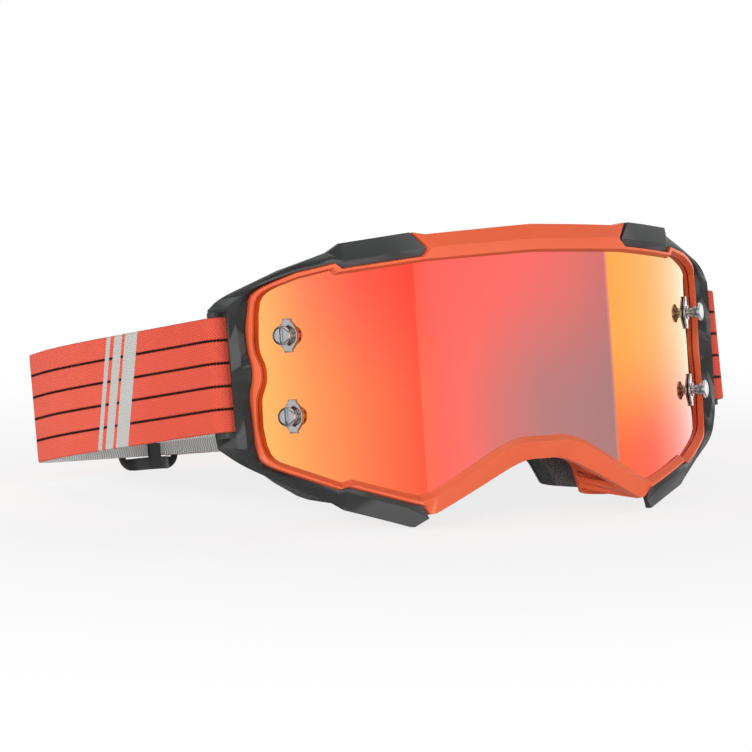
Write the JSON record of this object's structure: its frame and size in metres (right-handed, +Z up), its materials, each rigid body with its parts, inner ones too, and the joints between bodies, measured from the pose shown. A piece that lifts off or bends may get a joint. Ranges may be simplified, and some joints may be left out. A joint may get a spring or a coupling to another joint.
{
  "type": "motorcycle goggles",
  "caption": "Wrap-round motorcycle goggles: soft vented frame with a mirrored lens and tear-off posts, side outriggers, layered face foam and an elastic strap with sliding buckles.",
  "frame": {"origin": "on the table, below the middle of the whole part's box", "axes": "+X to the wearer's left, +Y back from the lens towards the wearer and the rear of the strap, +Z up"},
  "size_m": [0.2508, 0.1912, 0.1029],
  "materials": {
    "frame_orange": "soft satin moulding",
    "lens_mirror": "mirror coated",
    "post_clear": "polished",
    "charcoal": "satin moulding",
    "foam": "open foam",
    "fleece": "brushed fleece",
    "webbing": "ribbed elastic weave",
    "silicone": "matt beads"
  },
  "bodies": {
    "goggles": {"frame": "frame_orange", "lens": "lens_mirror", "posts": "post_clear", "post_plates": "post_clear", "post_nuts": "post_clear", "outrigger_right": "charcoal", "outrigger_left": "charcoal", "face_foam_base": "foam", "face_foam_middle": "foam", "face_foam_fleece": "fleece", "vent_foam_top": "foam", "vent_foam_right": "foam", "vent_foam_left": "foam", "strap_right": "webbing", "strap_left": "webbing", "strap_grip": "silicone"},
    "slider_right": {"slider_right": "charcoal", "strap_end_right": "webbing"},
    "slider_left": {"slider_left": "charcoal", "strap_end_left": "webbing"}
  },
  "joints": [
    {"name": "slide_right", "type": "slide", "parent": "goggles", "child": "slider_right", "axis": [0.9984, -0.0554, 0.0114], "range_m": [0, 0.022]},
    {"name": "slide_left", "type": "slide", "parent": "goggles", "child": "slider_left", "axis": [-0.9984, -0.0554, 0.0114], "range_m": [0, 0.022]}
  ]
}
